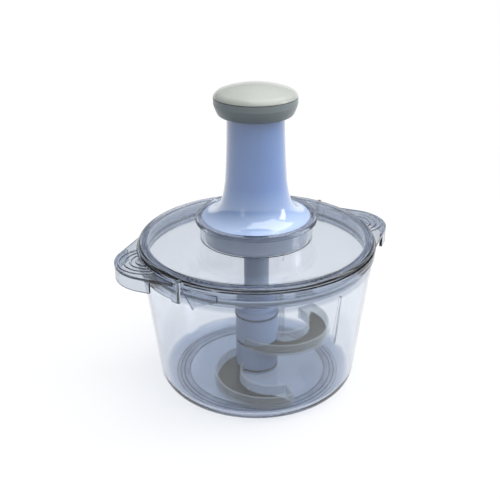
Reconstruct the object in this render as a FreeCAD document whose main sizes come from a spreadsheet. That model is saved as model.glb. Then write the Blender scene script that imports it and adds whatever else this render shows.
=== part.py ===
"""Plunger food chopper: clear bowl with two ears, clear lid with a pump housing, sickle blades.

Millimetres, +Z up, origin at the centre of the foot ring's underside. The ears lie on the X axis.
The knob is down, as it is when the chopper is put away, and all travels start from there.
"""
import FreeCAD, Part
import math
import operator
import os
import Sketcher

Vector = FreeCAD.Vector

doc = FreeCAD.newDocument("food_chopper")
sheet = doc.addObject("Spreadsheet::Sheet", "sizes")

# Driving dimensions in millimetres and degrees, one cell each.
driving = {
    # bowl
    "bowl_height": 119.5,
    "bowl_foot_radius": 78.8,
    "wall_slope": 6.8,
    "wall_thick": 2.5,
    "floor_thick": 3.5,
    "corner_radius": 12,
    "band_height": 7,
    "band_step": 3.1,
    "band_proud": 0.4,
    "collar_depth": 15.5,
    "collar_start": -18,
    "collar_sweep": 47,
    "rib_thick": 1.2,
    "rib_proud": 3.4,
    "rib_low": 62,
    "rib_top_drop": 16.5,
    "rib_angle": 49,
    "rib_count": 3,
    # ears
    "ear_reach": 113.5,
    "ear_nose": 33,
    "ear_root_angle": 35.2,
    "ear_drop": 1.4,
    "ear_thick": 2.4,
    "lip_depth": 11.5,
    "lip_thick": 2.2,
    "lip_run": 9,
    "grip_inset": 2.6,
    "grip_first": 7.5,
    "grip_width": 1.3,
    "grip_height": 0.8,
    "grip_count": 4,
    # twist stops beside the ears
    "stop_drop": 3,
    "post_angle": 27.4,
    "post_width": 6,
    "post_depth": 16.5,
    "post_proud": 0.7,
    "ramp_angle": 40.3,
    "ramp_length": 28.4,
    "ramp_depth": 18,
    "ramp_foot": 9,
    "ramp_rise": 4.9,
    "ramp_proud": 0.3,
    # foot ring
    "foot_proud": 1,
    "foot_seat": 1.3,
    "foot_inset": 1.1,
    "foot_wide": 10.5,
    "foot_groove": 0.9,
    "foot_groove_deep": 0.7,
    "seat_gap": 0.3,
    # centre pin and blade set
    "pin_radius": 3,
    "pin_sunk": 2.1,
    "pin_reach": 29,
    "run_fit": 0.06,
    "bush_wall": 1.2,
    "bush_crown": 1.2,
    "hub_gap": 0.5,
    "hub_foot_high": 2.2,
    "blade_pitch": 23.6,
    "blade_thick": 1.2,
    "body_high": 23.6,
    "cap_high": 9.4,
    "core_floor": 1.1,
    "core_wall": 1.55,
    "collar_wide": 4.1,
    "seam_depth": 0.8,
    "sickle_offset": 24.4,
    "sickle_radius": 39.2,
    "edge_offset": 26.5,
    "edge_turn": 7,
    "edge_radius": 25.5,
    "tip_turn": 9,
    "tip_slant": 26,
    "bevel_width": 2.4,
    "bevel_land": 0.4,
    "bevel_start": -125,
    "bevel_sweep": 125,
    "lower_blade_turn": -96,
    "blade_spread": 107,
    "guard_wall": 1.3,
    "guard_room": 1.1,
    "guard_inner_room": 0.5,
    "guard_tip_turn": 3,
    "guard_clear": 0.5,
    "guard_under": 0.2,
    "guard_floor": 1.4,
    "guard_height": 8.2,
    "tab_high": 30.2,
    "tab_start": -68,
    "tab_turn": -35,
    "tab_width": 5,
    "tab_thick": 1.2,
    # lid
    "plate_rise": 1.4,
    "lid_plate_thick": 2.6,
    "skirt_drop": 13.5,
    "skirt_gap": 0.8,
    "skirt_wall": 2.4,
    "ridge_high": 0.6,
    "flange_step": 0.8,
    "rim_gap": 0.3,
    "bead_radius": 3.2,
    "turret_foot": 43.6,
    "turret_lean": 1.6,
    "turret_wall": 2.3,
    "turret_high": 17.7,
    "turret_rim": 2,
    "turret_rim_high": 3.8,
    "lug_angle": 30.3,
    "lug_width": 2.4,
    "lug_thick": 1.8,
    "lug_drop": 15,
    "lug_gap": 0.6,
    "lug_high": 2.4,
    "seal_groove": 1.4,
    "seal_high": 2.6,
    "seal_rise": 3.2,
    "seal_gap": 0.2,
    # housing
    "housing_gap": 0.9,
    "housing_fit": 0.1,
    "housing_wall": 2.3,
    "bell_gap": 1.2,
    "bell_edge_high": 17.1,
    "bell_lip": 1.4,
    "bell_curve": 18,
    "neck_foot_flare": 4.8,
    "neck_foot_high": 31,
    "neck_mid_flare": 1.8,
    "neck_mid_high": 50.1,
    "neck_wall": 2.4,
    "neck_high": 99.5,
    "post_inset": 7.8,
    "post_radius": 3.2,
    "post_high": 15,
    "screw_count": 3,
    "screw_radius": 1.5,
    "screw_bite": 11.3,
    "screw_head": 2.8,
    "screw_head_high": 1.8,
    "plate_gap": 0.4,
    "plate_thick": 2.6,
    "cover_wall": 2,
    "cover_foot": 2,
    "cover_room": 1.6,
    "spigot_high": 2.6,
    "spigot_room": 0.95,
    # drive
    "shaft_radius": 9.95,
    "shaft_fit": 0.1,
    "shaft_bush_wall": 2.55,
    "bush_flange": 2,
    "bush_flange_high": 1.2,
    "shaft_pin_gap": 1.4,
    "shaft_bore_spare": 13,
    "shaft_bore_room": 1.4,
    "shaft_flange_high": 2.5,
    "socket_gap": 0.35,
    "spline_count": 3,
    "spline_width": 2.4,
    "spline_proud": 1.4,
    "spline_high": 20,
    "spline_gap": 0.3,
    "dog_count": 6,
    "dog_high": 1.2,
    "dog_width": 3.4,
    "dog_length": 4.8,
    "clutch_gap": 0.3,
    "nut_high": 5.4,
    # plunger
    "travel": 45,
    "tube_radius": 16.5,
    "tube_wall": 2.1,
    "tube_proud": 6,
    "tube_end": 6,
    "stop_gap": 0.6,
    "stop_high": 3,
    "guide_fit": 0.1,
    "guide_wall": 2.6,
    "guide_length": 20,
    "guide_flange_high": 1.6,
    "rod_width": 8,
    "rod_thick": 2.5,
    "rod_spare": 12.5,
    "rod_proud": 8,
    "rod_lead": 60,
    "rod_gap": 0.25,
    "rod_pin_radius": 1.2,
    "rod_pin_length": 16,
    "knob_overhang": 9.5,
    "knob_skirt": 9,
    "knob_cup": 4.2,
    "knob_foot_inset": 4.5,
    "knob_waist_inset": 2.3,
    "knob_waist_high": 2.4,
    "knob_shoulder_high": 8.6,
    "knob_wall": 5.8,
    "knob_bore_taper": 1.1,
    "knob_web": 2.5,
    "knob_rim": 2.5,
    "knob_groove": 0.4,
    "cap_turn_inset": 3.7,
    "cap_crown": 8.8,
    "cap_wall": 2.6,
    "cap_side_curve": 7.5,
    "cap_dome_curve": 78,
    "cap_fit": 0.1,
    "knob_screw_inset": 3.4,
    "knob_screw_deep": 5,
    # return spring
    "coil_room": 2.35,
    "coil_wire": 1.5,
    "coil_turns": 17,
}
for row, (alias, number) in enumerate(driving.items(), start=1):
    sheet.set("A%d" % row, alias)
    sheet.set("B%d" % row, str(number))
    sheet.setAlias("B%d" % row, alias)
doc.recompute()


class Size:
    """A number that remembers the formula which ties it to the sheet."""

    def __init__(self, number, formula):
        self.number = number
        self.formula = formula

    def join(self, other, sign, work, swapped=False):
        other = as_size(other)
        first, second = (other, self) if swapped else (self, other)
        number = work(first.number, second.number)
        return Size(number, "(%s %s %s)" % (first.formula, sign, second.formula))

    def __add__(self, other):
        return self.join(other, "+", operator.add)

    def __radd__(self, other):
        return self.join(other, "+", operator.add, True)

    def __sub__(self, other):
        return self.join(other, "-", operator.sub)

    def __rsub__(self, other):
        return self.join(other, "-", operator.sub, True)

    def __mul__(self, other):
        return self.join(other, "*", operator.mul)

    def __rmul__(self, other):
        return self.join(other, "*", operator.mul, True)

    def __truediv__(self, other):
        return self.join(other, "/", operator.truediv)

    def __neg__(self):
        return 0 - self


def as_size(thing):
    """A bare number becomes a size whose formula is that number."""
    if isinstance(thing, Size):
        return thing
    return Size(float(thing), "(%r)" % thing if thing < 0 else "%r" % thing)


def size(alias):
    return Size(float(sheet.get(alias)), "sizes.%s" % alias)


def sine(angle):
    angle = as_size(angle)
    return Size(math.sin(math.radians(angle.number)), "sin(%s)" % angle.formula)


def cosine(angle):
    angle = as_size(angle)
    return Size(math.cos(math.radians(angle.number)), "cos(%s)" % angle.formula)


def tangent(angle):
    angle = as_size(angle)
    return Size(math.tan(math.radians(angle.number)), "tan(%s)" % angle.formula)


def root(value):
    return Size(math.sqrt(value.number), "sqrt(%s)" % value.formula)


def arc_to(x, y, radius, side):
    """Corner reached by an arc that bulges to the right or left of the way there."""
    return (x, y, radius, side)


def arc_edge(start, end, radius, side):
    """Counter-clockwise arc edge, and whether it runs from start to end."""
    first = Vector(start[0], start[1], 0)
    last = Vector(end[0], end[1], 0)
    chord = last - first
    half = chord.Length / 2
    sagitta = radius - math.sqrt(radius * radius - half * half)
    right = Vector(chord.y, -chord.x, 0)
    right.normalize()
    way = 1 if side == "right" else -1
    middle = (first + last) * 0.5 + right * (sagitta * way)
    if side == "right":
        return Part.Arc(first, middle, last), True
    return Part.Arc(last, middle, first), False


def origin_part(body, role):
    return [part for part in body.Origin.OriginFeatures if part.Role == role][0]


def new_body(label):
    body = doc.addObject("PartDesign::Body", label)
    body.Label = label
    return body


def new_sketch(body, name, plane, lift=None, turn=None):
    """Sketch on an origin plane; a flat one is lifted along Z, and both kinds turn about Z."""
    sketch = body.newObject("Sketcher::SketchObject", name)
    sketch.AttachmentSupport = [(origin_part(body, plane), "")]
    sketch.MapMode = "FlatFace"
    offset = "AttachmentOffset.Base.z"
    if lift is not None:
        sketch.setExpression(offset, as_size(lift).formula)
    if turn is not None:
        axis = "z" if plane == "XY_Plane" else "y"
        way = {"x": 0, "y": 0, "z": 0}
        way[axis] = 1
        sketch.AttachmentOffset = FreeCAD.Placement(
            Vector(0, 0, 0), FreeCAD.Rotation(Vector(way["x"], way["y"], way["z"]), 1))
        sketch.setExpression("AttachmentOffset.Rotation.Angle", as_size(turn).formula)
    return sketch


def draw(sketch, corners):
    """Closed outline through the corners, every corner and radius bound to the sheet."""
    points = [(as_size(corner[0]), as_size(corner[1])) for corner in corners]
    count = len(points)
    edges = []
    ends = []
    bends = []
    for index in range(count):
        follow = (index + 1) % count
        start = (points[index][0].number, points[index][1].number)
        end = (points[follow][0].number, points[follow][1].number)
        corner = corners[follow]
        if len(corner) == 2:
            edges.append(Part.LineSegment(Vector(start[0], start[1], 0), Vector(end[0], end[1], 0)))
            ends.append((1, 2))
        else:
            radius = as_size(corner[2])
            edge, forward = arc_edge(start, end, radius.number, corner[3])
            edges.append(edge)
            ends.append((1, 2) if forward else (2, 1))
            bends.append((index, radius))
    sketch.addGeometry(edges, False)
    rules = []
    formulas = []
    for index in range(count):
        before = index - 1 if index else count - 1
        rules.append(Sketcher.Constraint("Coincident", before, ends[before][1], index, ends[index][0]))
        formulas.append(None)
    for index, (x, y) in enumerate(points):
        for kind, line, value in (("DistanceX", -2, x), ("DistanceY", -1, y)):
            place = ends[index][0]
            if value.formula == "0":
                rules.append(Sketcher.Constraint("PointOnObject", index, place, line))
                formulas.append(None)
            else:
                rules.append(Sketcher.Constraint(kind, -1, 1, index, place, value.number))
                formulas.append(value.formula)
    for index, radius in bends:
        rules.append(Sketcher.Constraint("Radius", index, radius.number))
        formulas.append(radius.formula)
    sketch.addConstraint(rules)
    for index, formula in enumerate(formulas):
        if formula:
            sketch.setExpression("Constraints[%d]" % index, formula)


def draw_circles(sketch, centres, radius):
    radius = as_size(radius)
    rules = []
    formulas = []
    edges = []
    for index, (x, y) in enumerate(centres):
        x, y = as_size(x), as_size(y)
        edges.append(Part.Circle(Vector(x.number, y.number, 0), Vector(0, 0, 1), radius.number))
        for kind, line, value in (("DistanceX", -2, x), ("DistanceY", -1, y)):
            if value.formula == "0":
                rules.append(Sketcher.Constraint("PointOnObject", index, 3, line))
                formulas.append(None)
            else:
                rules.append(Sketcher.Constraint(kind, -1, 1, index, 3, value.number))
                formulas.append(value.formula)
        rules.append(Sketcher.Constraint("Radius", index, radius.number))
        formulas.append(radius.formula)
    sketch.addGeometry(edges, False)
    sketch.addConstraint(rules)
    for index, formula in enumerate(formulas):
        if formula:
            sketch.setExpression("Constraints[%d]" % index, formula)


def revolve(body, name, corners, kind="PartDesign::Revolution", turn=None, sweep=None):
    """Turned feature from an outline in radius and height."""
    sketch = new_sketch(body, name + "_outline", "XZ_Plane", turn=turn)
    draw(sketch, corners)
    doc.recompute()
    feature = body.newObject(kind, name)
    feature.Profile = sketch
    feature.ReferenceAxis = (sketch, ["V_Axis"])
    if sweep is None:
        feature.Angle = 360
    else:
        feature.setExpression("Angle", as_size(sweep).formula)
    body.Tip = feature
    doc.recompute()
    return feature


def turned(label, corners):
    """Body made by one revolution."""
    body = new_body(label)
    revolve(body, label + "_turned", corners)
    return body


def raise_up(body, name, sketch, length, kind="PartDesign::Pad", middle=False):
    """Pad or pocket upward by a length."""
    before = body.Shape.Volume if body.Tip else 0
    feature = body.newObject(kind, name)
    feature.Profile = sketch
    feature.setExpression("Length", as_size(length).formula)
    if kind == "PartDesign::Pocket":
        feature.Reversed = True
    if middle:
        feature.Midplane = True
    body.Tip = feature
    doc.recompute()
    changed = body.Shape.Volume - before
    if (kind == "PartDesign::Pocket") == (changed > -1e-6):
        raise SystemExit("%s left the volume as it was" % name)
    return feature


def pad(body, name, corners, low, high, turn=None):
    sketch = new_sketch(body, name + "_outline", "XY_Plane", low, turn)
    draw(sketch, corners)
    doc.recompute()
    return raise_up(body, name, sketch, as_size(high) - low)


def pocket(body, name, corners, low, high, turn=None):
    sketch = new_sketch(body, name + "_outline", "XY_Plane", low, turn)
    draw(sketch, corners)
    doc.recompute()
    return raise_up(body, name, sketch, as_size(high) - low, "PartDesign::Pocket")


def holes(body, name, centres, radius, low, high):
    sketch = new_sketch(body, name + "_circles", "XY_Plane", low)
    draw_circles(sketch, centres, radius)
    doc.recompute()
    return raise_up(body, name, sketch, as_size(high) - low, "PartDesign::Pocket")


def posts(body, name, centres, radius, low, high):
    sketch = new_sketch(body, name + "_circles", "XY_Plane", low)
    draw_circles(sketch, centres, radius)
    doc.recompute()
    return raise_up(body, name, sketch, as_size(high) - low)


def upright_plate(body, name, corners, thick, turn):
    """Plate standing on its edge in a radial plane, drawn in radius and height."""
    sketch = new_sketch(body, name + "_outline", "XZ_Plane", turn=turn)
    draw(sketch, corners)
    doc.recompute()
    return raise_up(body, name, sketch, thick, middle=True)


def flat_plate(body, name, corners, out, thick, turn):
    """Flat plate standing square to a radius, drawn in run along the rim and height."""
    sketch = new_sketch(body, name + "_outline", "YZ_Plane", turn=turn)
    sketch.setExpression("AttachmentOffset.Base.x", (out * sine(turn)).formula)
    sketch.setExpression("AttachmentOffset.Base.z", (out * cosine(turn)).formula)
    draw(sketch, corners)
    doc.recompute()
    return raise_up(body, name, sketch, thick)


def around(body, name, features, count, angle=360):
    pattern = body.newObject("PartDesign::PolarPattern", name)
    pattern.Originals = features
    pattern.Axis = (origin_part(body, "Z_Axis"), [""])
    pattern.Angle = angle
    if isinstance(count, Size):
        pattern.setExpression("Occurrences", count.formula)
    else:
        pattern.Occurrences = count
    body.Tip = pattern
    doc.recompute()
    return pattern


def spread(circle, count, first=0):
    """Centres evenly spaced round a circle, the first at an angle from +X."""
    step = 360.0 / count
    return [(circle * cosine(first + step * index), circle * sine(first + step * index))
            for index in range(count)]


def rectangle(left, front, right, back):
    return [(left, front), (right, front), (right, back), (left, back)]


def section(inner, low, outer, high):
    """Outline of a plain ring in radius and height."""
    return [(inner, low), (outer, low), (outer, high), (inner, high)]


# Bowl: one clear moulding with a conical wall, thick rim band, two ears and three inner ribs.
foot = size("foot_proud")
rim = size("bowl_height")
slope = tangent(size("wall_slope"))
wall_across = size("wall_thick") / cosine(size("wall_slope"))
half_corner = (90 - size("wall_slope")) / 2
corner_run = size("corner_radius") * tangent(half_corner)
floor_top = foot + size("floor_thick")
inner_corner = size("corner_radius") - size("wall_thick")
inner_run = inner_corner * tangent(half_corner)
band_low = rim - size("band_height")
step_low = rim - size("band_step")


def wall_outside(height):
    return size("bowl_foot_radius") + slope * (height - foot)


def wall_inside(height):
    return wall_outside(height) - wall_across


band_radius = wall_outside(rim)
rim_radius = band_radius + size("band_proud")
seat_top = foot + size("foot_seat")
foot_outer = size("bowl_foot_radius") - corner_run - size("foot_inset")
foot_inner = foot_outer - size("foot_wide")
seat_inner = foot_inner - size("seat_gap")
seat_outer = foot_outer + size("seat_gap")
pin = size("pin_radius")
pin_low = floor_top - size("pin_sunk")
floor_corner = wall_inside(floor_top)

bowl = new_body("bowl")
revolve(bowl, "bowl_wall", [
    (0, foot),
    (seat_inner, foot),
    (seat_inner, seat_top),
    (seat_outer, seat_top),
    (seat_outer, foot),
    (size("bowl_foot_radius") - corner_run, foot),
    arc_to(size("bowl_foot_radius") + corner_run * sine(size("wall_slope")),
           foot + corner_run * cosine(size("wall_slope")), size("corner_radius"), "right"),
    (wall_outside(band_low), band_low),
    (band_radius, band_low),
    (band_radius, step_low),
    (rim_radius, step_low),
    (rim_radius, rim),
    (wall_inside(rim), rim),
    (floor_corner + inner_run * sine(size("wall_slope")),
     floor_top + inner_run * cosine(size("wall_slope"))),
    arc_to(floor_corner - inner_run, floor_top, inner_corner, "left"),
    (pin, floor_top),
    (pin, pin_low),
    (0, pin_low),
])

# Deeper collar under each ear, where the hand pulls.
collar_low = rim - size("collar_depth")
ear_top = rim - size("ear_drop")
ear_low = ear_top - size("ear_thick")
collar = revolve(bowl, "ear_collar", [
    (wall_outside(collar_low) - size("wall_thick") / 2, collar_low),
    (rim_radius, collar_low),
    (rim_radius, ear_low + size("ear_thick") / 2),
    (wall_outside(ear_low) - size("wall_thick") / 2, ear_low + size("ear_thick") / 2),
], turn=size("collar_start"), sweep=size("collar_sweep"))

# Ear plate: a nose arc with straight sides that run back to the rim.
nose = size("ear_nose")
nose_centre = size("ear_reach") - nose
root_circle = wall_outside(rim) - size("wall_thick") / 2
root_x = root_circle * cosine(size("ear_root_angle"))
root_y = root_circle * sine(size("ear_root_angle"))
to_root = nose_centre - root_x
root_span = root(to_root * to_root + root_y * root_y)
side_length = root(root_span * root_span - nose * nose)
normal_x = (side_length * root_y - nose * to_root) / (root_span * root_span)
normal_y = (nose * root_y + side_length * to_root) / (root_span * root_span)
side_x = nose_centre + nose * normal_x
side_y = nose * normal_y
ear = pad(bowl, "ear_plate", [
    arc_to(root_x, -root_y, root_circle, "left"),
    (side_x, -side_y),
    arc_to(side_x, side_y, nose, "right"),
    (root_x, root_y),
], ear_low, ear_top)

# Lip that turns down round the ear's edge, for the fingers.
inside = nose - size("lip_thick")
inside_x = nose_centre + inside * normal_x
inside_y = inside * normal_y
run_x = size("lip_run") * normal_y
run_y = size("lip_run") * normal_x
lip = pad(bowl, "ear_lip", [
    (side_x - run_x, -side_y - run_y),
    (side_x, -side_y),
    arc_to(side_x, side_y, nose, "right"),
    (side_x - run_x, side_y + run_y),
    (inside_x - run_x, inside_y + run_y),
    (inside_x, inside_y),
    arc_to(inside_x, -inside_y, inside, "left"),
    (inside_x - run_x, -inside_y - run_y),
], ear_top - size("lip_depth"), ear_low + size("ear_thick") / 2)

# Raised grip lines on the ear, open towards the rim.
ear_features = [collar, ear, lip]
grip_centre = root_circle - size("grip_inset")
grip_room = size("ear_reach") - size("lip_thick") - grip_centre
grip_count = int(sheet.get("grip_count"))
grip_pitch = (grip_room - size("grip_first") - size("grip_width")) / (size("grip_count") - 1)
for index in range(grip_count):
    inner = size("grip_first") + grip_pitch * index
    outer = inner + size("grip_width")
    ear_features.append(pad(bowl, "grip_line_%d" % (index + 1), [
        (grip_centre, -outer),
        arc_to(grip_centre + outer, 0, outer, "right"),
        arc_to(grip_centre, outer, outer, "right"),
        (grip_centre, inner),
        arc_to(grip_centre + inner, 0, inner, "left"),
        arc_to(grip_centre, -inner, inner, "left"),
    ], ear_top - size("grip_height"), ear_top + size("grip_height")))

# Twist stops on one side of each ear: an upright post and a ramp, with a slit between for the lug.
stop_top = rim - size("stop_drop")
post_low = rim - size("post_depth")
post_inside = wall_outside(post_low) - size("wall_thick") / 2
stop_post = upright_plate(bowl, "stop_post", section(
    post_inside, post_low, rim_radius + size("post_proud"), stop_top,
), size("post_width"), size("post_angle"))
half_ramp = size("ramp_length") / 2
ramp_low = rim - size("ramp_depth")
ramp_inside = wall_outside(ramp_low) - size("wall_thick") / 2
ramp_outside = rim_radius + size("ramp_proud")
stop_ramp = flat_plate(bowl, "stop_ramp", [
    (-half_ramp, stop_top),
    (size("ramp_foot") - half_ramp, ramp_low),
    (size("ramp_foot") - half_ramp + size("ramp_rise"), ramp_low + size("ramp_rise")),
    (half_ramp, stop_top - size("ramp_rise")),
    (half_ramp, stop_top),
], ramp_inside, ramp_outside - ramp_inside, size("ramp_angle"))
around(bowl, "both_ears", ear_features + [stop_post, stop_ramp], 2)

# Ribs that stand the food up against the blades.
rib_low = size("rib_low")
rib_high = rim - size("rib_top_drop")
rib_bite = size("wall_thick") / 2
first_rib = upright_plate(bowl, "rib", [
    (wall_inside(rib_low) - size("rib_proud"), rib_low),
    (wall_inside(rib_low) + rib_bite, rib_low),
    (wall_inside(rib_high) + rib_bite, rib_high),
    (wall_inside(rib_high) - size("rib_proud") / 2, rib_high),
], size("rib_thick"), size("rib_angle"))
around(bowl, "ribs", [first_rib], size("rib_count"))

# Foot ring: soft ring in the recess under the bowl, with two fine grooves in its tread.
groove_wide = size("foot_groove")
groove_deep = size("foot_groove_deep")
groove_in = foot_inner + size("foot_wide") / 3 - groove_wide / 2
groove_out = foot_outer - size("foot_wide") / 3 - groove_wide / 2
turned("base_ring", [
    (foot_inner, 0),
    (groove_in, 0),
    (groove_in, groove_deep),
    (groove_in + groove_wide, groove_deep),
    (groove_in + groove_wide, 0),
    (groove_out, 0),
    (groove_out, groove_deep),
    (groove_out + groove_wide, groove_deep),
    (groove_out + groove_wide, 0),
    (foot_outer, 0),
    (foot_outer, seat_top),
    (foot_inner, seat_top),
])

# Steel pin pressed into the floor; the blade set stands on its domed end.
pin_dome = pin / 2
hub_low = floor_top + size("hub_gap")
pin_top = hub_low + size("pin_reach")
turned("centre_pin", [
    (0, pin_low),
    (pin, pin_low),
    (pin, pin_top - pin_dome),
    arc_to(pin - pin_dome, pin_top, pin_dome, "right"),
    (0, pin_top),
])

# Blade set: a core through everything, with collars that clamp the two blades.
seam = size("seam_depth")
lower_low = hub_low + size("hub_foot_high")
lower_top = lower_low + size("blade_thick")
upper_low = lower_low + size("blade_pitch")
upper_top = upper_low + size("blade_thick")
cap_low = upper_top + size("body_high")
hub_top = cap_low + size("cap_high")
lip_low = hub_top - seam
bush_bore = pin + size("run_fit")
bush_outer = bush_bore + size("bush_wall")
crown_low = pin_top + size("seat_gap")
bush_top = crown_low + size("bush_crown")
shaft = size("shaft_radius")
socket = shaft + size("socket_gap")
socket_low = bush_top + size("core_floor")
spline_reach = shaft + size("spline_proud")
slot_reach = spline_reach + size("spline_gap")
core = slot_reach + size("core_wall")
hub = core + size("collar_wide")

turned("hub_bush", [
    (bush_bore, hub_low + size("seat_gap")),
    (bush_outer, hub_low + size("seat_gap")),
    (bush_outer, bush_top),
    (0, bush_top),
    (0, crown_low),
    (bush_bore, crown_low),
])

hub_core = turned("hub_core", [
    (bush_outer, hub_low),
    (core, hub_low),
    (core, lip_low),
    (socket, lip_low),
    (socket, socket_low),
    (0, socket_low),
    (0, bush_top),
    (bush_outer, bush_top),
])
slot_half = size("spline_width") / 2 + size("spline_gap")
first_slot = pocket(hub_core, "spline_slot", rectangle(
    shaft / 2, -slot_half, slot_reach, slot_half,
), socket_low, hub_top)
around(hub_core, "spline_slots", [first_slot], size("spline_count"))


def collar_ring(label, low, high):
    """Hub collar with its outer edges eased, which makes the fine seams of the hub."""
    turned(label, [
        (core, low),
        (hub - seam, low),
        (hub, low + seam),
        (hub, high - seam),
        (hub - seam, high),
        (core, high),
    ])


collar_ring("hub_foot", hub_low, lower_low)
collar_ring("hub_spacer", lower_top, upper_low)
collar_ring("hub_body", upper_top, cap_low)
turned("hub_cap", [
    (core, cap_low),
    (hub - seam, cap_low),
    (hub, cap_low + seam),
    (hub, hub_top - seam * 3),
    (hub - seam * 3, hub_top),
    (slot_reach, hub_top),
    (slot_reach, lip_low),
    (core, lip_low),
])


def meet(offset, radius, circle):
    """Where a circle off the hub's axis crosses a circle about that axis, on the way in."""
    along = (offset * offset + circle * circle - radius * radius) / (offset * 2)
    return along, -root(circle * circle - along * along)


def sickle(outer, inner, circle, tip_turn, end_turn):
    """Sickle outline round the hub, with its centre on +X and its tip swept forward."""
    offset = size("sickle_offset")
    lean = size("edge_turn")
    centre_x = size("edge_offset") * cosine(lean)
    centre_y = size("edge_offset") * sine(lean)
    start_x, start_y = meet(offset, outer, circle)
    along, across = meet(size("edge_offset"), inner, circle)
    return [
        arc_to(start_x, start_y, circle, "left"),
        arc_to(offset, -outer, outer, "right"),
        arc_to(offset + outer * cosine(tip_turn), outer * sine(tip_turn), outer, "right"),
        (centre_x + inner * cosine(end_turn), centre_y + inner * sine(end_turn)),
        arc_to(along * cosine(lean) - across * sine(lean),
               along * sine(lean) + across * cosine(lean), inner, "left"),
    ]


def blade(label, low, turn):
    """Steel sickle on a ring that is clamped between two hub collars."""
    body = new_body(label)
    thick = size("blade_thick")
    revolve(body, label + "_ring", section(core, low, hub, low + thick))
    pad(body, label + "_sickle", sickle(
        size("sickle_radius"), size("edge_radius"), (hub + core) / 2,
        size("tip_turn"), size("tip_turn") - size("tip_slant"),
    ), low, low + thick, turn)
    bend = size("edge_radius")
    out = turn + size("edge_turn")
    wide = size("bevel_width")
    deep = thick - size("bevel_land")
    sketch = new_sketch(body, label + "_bevel_outline", "XZ_Plane", turn=turn + size("bevel_start"))
    sketch.setExpression("AttachmentOffset.Base.x", (size("edge_offset") * cosine(out)).formula)
    sketch.setExpression("AttachmentOffset.Base.z", (-size("edge_offset") * sine(out)).formula)
    draw(sketch, [
        (bend - wide / 2, low + thick - deep * 3 / 2),
        (bend + wide * 3 / 2, low + thick + deep / 2),
        (bend - wide / 2, low + thick + deep / 2),
    ])
    doc.recompute()
    before = body.Shape.Volume
    bevel = body.newObject("PartDesign::Groove", label + "_bevel")
    bevel.Profile = sketch
    bevel.ReferenceAxis = (sketch, ["V_Axis"])
    bevel.setExpression("Angle", "sizes.bevel_sweep")
    body.Tip = bevel
    doc.recompute()
    print(label, "bevel takes off", round(before - body.Shape.Volume, 1), "cubic mm")
    return body


def guard(label, low, turn):
    """Clip-on channel that covers a sickle from below, open on top and towards the hub."""
    body = new_body(label)
    channel_low = low - size("guard_under")
    top = low + size("guard_height")
    start = hub + size("guard_clear")
    outer = size("sickle_radius") + size("guard_room")
    inner = size("edge_radius") - size("guard_inner_room")
    wall = size("guard_wall")
    tip = size("tip_turn") + size("guard_tip_turn")
    pad(body, label + "_block", sickle(
        outer + wall, inner - wall, start, tip, tip - 1,
    ), channel_low - size("guard_floor"), top, turn)
    pocket(body, label + "_channel", sickle(
        outer, inner, hub - size("run_fit"), tip - 2, tip - 4,
    ), channel_low, top, turn)
    return body


lower_turn = size("lower_blade_turn")
upper_turn = lower_turn + size("blade_spread")
blade("lower_blade", lower_low, lower_turn)
blade("upper_blade", upper_low, upper_turn)
guard("lower_guard", lower_low, lower_turn)
upper_guard = guard("upper_guard", upper_low, upper_turn)

# Finger tab that stands up from the upper guard beside the hub.
tab_start = hub + size("guard_clear")
tab_end = tab_start + size("tab_width")
tab_seat = upper_low - size("guard_under")
tab_floor = tab_seat - size("guard_floor")
tab_first = size("tab_start")
tab_last = size("tab_turn")
pad(upper_guard, "tab_web", [
    arc_to(tab_start * cosine(tab_first), tab_start * sine(tab_first), tab_start, "left"),
    (tab_end * cosine(tab_first), tab_end * sine(tab_first)),
    arc_to(tab_end * cosine(tab_last), tab_end * sine(tab_last), tab_end, "right"),
    (tab_start * cosine(tab_last), tab_start * sine(tab_last)),
], tab_floor, tab_seat, upper_turn)
upright_plate(upper_guard, "finger_tab", section(
    tab_start, tab_floor, tab_end, upper_low + size("tab_high"),
), size("tab_thick"), upper_turn + tab_last)

# Lid: plate with a deep skirt, a rounded flange that rests on the rim, and a turret for the pump.
plate_low = rim + size("plate_rise")
plate_top = plate_low + size("lid_plate_thick")
skirt_low = rim - size("skirt_drop")
skirt = wall_inside(skirt_low) - size("skirt_gap")
skirt_inner = skirt - size("skirt_wall")
flange_low = rim + size("rim_gap")
flange = rim_radius - size("flange_step")
groove_root = skirt - size("seal_groove")
groove_low = skirt_low + size("seal_rise")
groove_top = groove_low + size("seal_high")
bush_run = shaft + size("shaft_fit")
bush_wide = bush_run + size("shaft_bush_wall")
bush_hole = bush_wide + size("housing_fit")
bead = size("bead_radius")
bead_foot = flange_low + size("wall_thick") / 3
ridge_out = skirt_inner + size("skirt_wall") * 3 / 4
lid = turned("lid", [
    (bush_hole, plate_low),
    (skirt_inner, plate_low),
    (skirt_inner, skirt_low),
    (skirt - size("skirt_wall") / 4, skirt_low),
    (skirt, skirt_low + size("skirt_wall") / 2),
    (skirt, groove_low),
    (groove_root, groove_low),
    (groove_root, groove_top),
    (skirt, groove_top),
    (skirt, flange_low),
    (flange - size("wall_thick") / 4, flange_low),
    (flange, bead_foot),
    arc_to(flange - bead * 0.6, bead_foot + bead * 0.8, bead, "right"),
    (ridge_out, plate_top + size("ridge_high") / 2),
    (ridge_out, plate_top + size("ridge_high")),
    (skirt_inner, plate_top + size("ridge_high")),
    (skirt_inner, plate_top),
    (bush_hole, plate_top),
])
turret_top = plate_top + size("turret_high")
turret_edge = turret_top - size("turret_rim_high")
turret_foot = size("turret_foot")
turret_mouth = turret_foot + size("turret_lean")
turret_out = turret_mouth + size("turret_rim")
turret_wall = size("turret_wall")
turret_bite = size("lid_plate_thick") / 2
edge_share = size("turret_rim_high") / size("turret_high")
edge_lean = turret_mouth - size("turret_lean") * edge_share
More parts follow.
